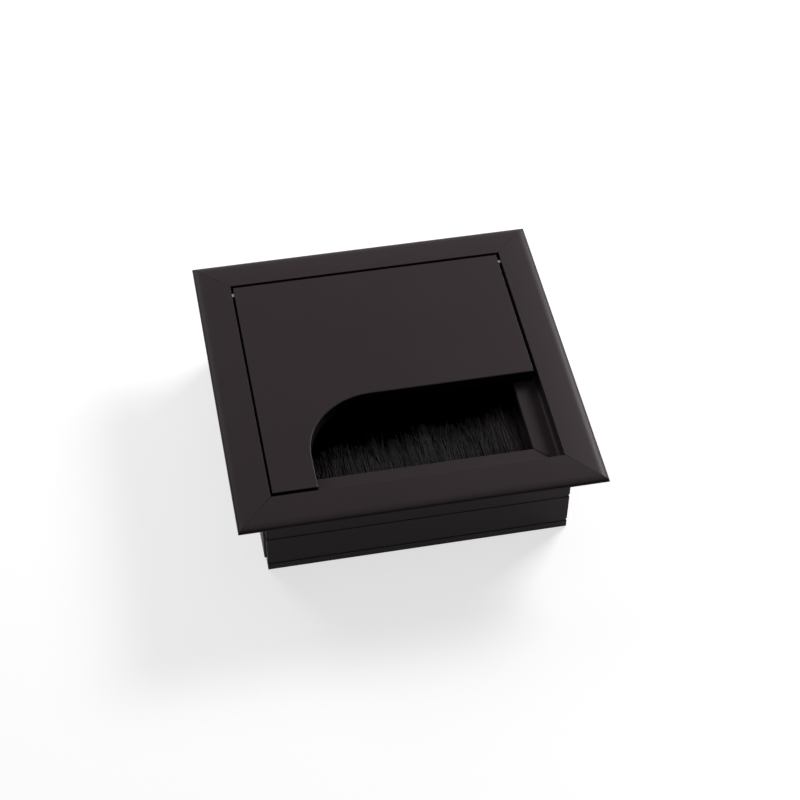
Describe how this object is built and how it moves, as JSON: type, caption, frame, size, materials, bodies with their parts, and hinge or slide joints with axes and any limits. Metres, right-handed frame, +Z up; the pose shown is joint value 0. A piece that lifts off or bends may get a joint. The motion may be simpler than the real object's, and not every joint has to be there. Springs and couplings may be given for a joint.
{
  "type": "cable grommet",
  "caption": "Square desk cable grommet: mitred metal frame with a skirt, a flush hinged lid with a rounded cable cut-out, and a bristle brush that closes the gap.",
  "frame": {"origin": "under the middle of the frame, level with the bottom edge of the skirt", "axes": "+Z up out of the desk, +X to the right seen from the brush side, +Y from the brush towards the hinge"},
  "size_m": [0.08, 0.08, 0.023],
  "materials": {
    "frame": "black anodised, satin",
    "lid": "black anodised, satin",
    "pin": "bright turned",
    "key": "zinc plated",
    "channel": "zinc plated strip and wire",
    "bristle": "black nylon filament",
    "strip": "black moulded"
  },
  "bodies": {
    "frame": {"frame_front": "frame", "frame_back": "frame", "frame_left": "frame", "frame_right": "frame", "corner_key_front_left": "key", "corner_key_front_right": "key", "corner_key_back_left": "key", "corner_key_back_right": "key", "brush_channel": "channel", "brush_wire": "channel", "brush_bristles": "bristle", "grip_strip_left": "strip", "grip_strip_right": "strip"},
    "lid": {"lid": "lid", "hinge_pin_left": "pin", "hinge_pin_right": "pin"}
  },
  "joints": [
    {"name": "lid_hinge", "type": "hinge", "parent": "frame", "child": "lid", "pos_m": [0, 0.02983, 0.02155], "axis": [-1, 0, 0], "range_deg": [0, 95]}
  ]
}
